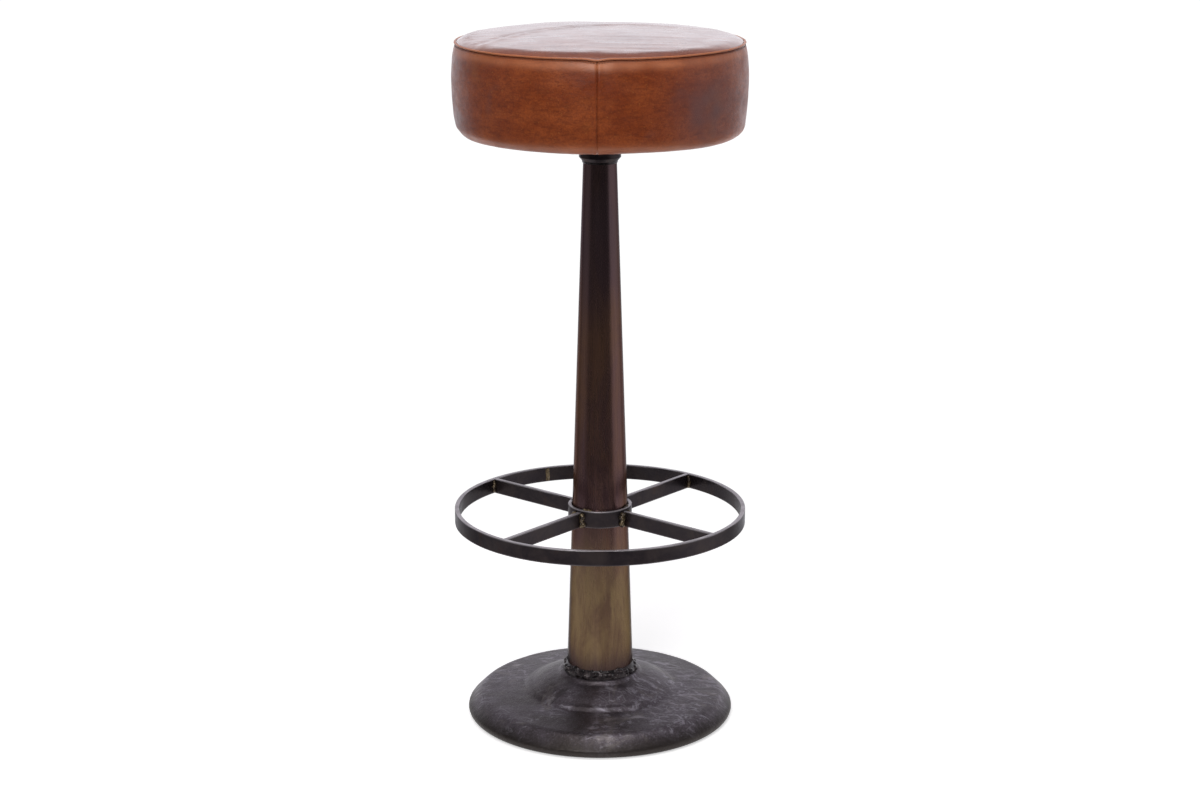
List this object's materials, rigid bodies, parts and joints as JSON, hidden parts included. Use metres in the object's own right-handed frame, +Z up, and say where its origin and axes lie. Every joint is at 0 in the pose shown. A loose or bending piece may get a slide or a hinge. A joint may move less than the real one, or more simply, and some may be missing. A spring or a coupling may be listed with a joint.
{
  "type": "bar stool",
  "caption": "Bar stool with a swivelling round padded leather seat, a tapered steel column, a ring footrest on flat spokes and a round cast base.",
  "frame": {"origin": "middle of the round footprint, on the floor", "axes": "+Z up along the column and the swivel axis; the seat's front seam faces -Y; +X to the sitter's left when they face -Y"},
  "size_m": [0.337, 0.337, 0.8],
  "materials": {
    "cast_iron": "rough as-cast iron, dark wax, scuffed pale on the upper faces",
    "rubber": "matt moulded rubber",
    "column_steel": "dark bronze-brown patina under clear lacquer, glossy",
    "bar_steel": "blackened flat bar under thin lacquer, bright along its edges",
    "weld_metal": "unground weld bead, lumpy, heat-darkened",
    "bronze": "turned bearing bronze",
    "bright_steel": "turned and greased steel",
    "zinc_steel": "zinc plated",
    "plywood": "sawn plywood",
    "foam": "open-cell upholstery foam",
    "side_leather": "waxed saddle-tan leather, mottled, semi-gloss",
    "top_leather": "the same leather, drawn tight, with a gloss sheen and a long crease",
    "under_cloth": "black non-woven cloth"
  },
  "bodies": {
    "stand": {"base_casting": "cast_iron", "floor_ring": "rubber", "column_tube": "column_steel", "column_weld": "weld_metal", "footrest_collar": "bar_steel", "collar_tacks": "weld_metal", "spoke_1": "bar_steel", "spoke_2": "bar_steel", "spoke_3": "bar_steel", "spoke_4": "bar_steel", "spoke_inner_welds": "weld_metal", "spoke_outer_welds": "weld_metal", "footrest_ring": "bar_steel", "ring_joint_weld": "weld_metal", "swivel_housing": "bar_steel", "housing_weld": "weld_metal", "upper_bush": "bronze", "lower_bush": "bronze", "thrust_washer": "bronze"},
    "seat": {"spindle": "bright_steel", "retaining_washer": "bright_steel", "circlip": "bright_steel", "seat_hub": "bar_steel", "hub_weld": "weld_metal", "seat_plate": "bar_steel", "plate_bolts": "zinc_steel", "bolt_washers": "zinc_steel", "tee_nuts": "zinc_steel", "seat_board": "plywood", "foam_pad": "foam", "side_band_left": "side_leather", "side_band_right": "side_leather", "top_panel": "top_leather", "seam_lip": "side_leather", "under_cover": "under_cloth", "cover_staples": "zinc_steel"}
  },
  "joints": [
    {"name": "seat_swivel", "type": "hinge", "parent": "stand", "child": "seat", "pos_m": [0, 0, 0.6706], "axis": [0, 0, 1], "continuous": true}
  ]
}
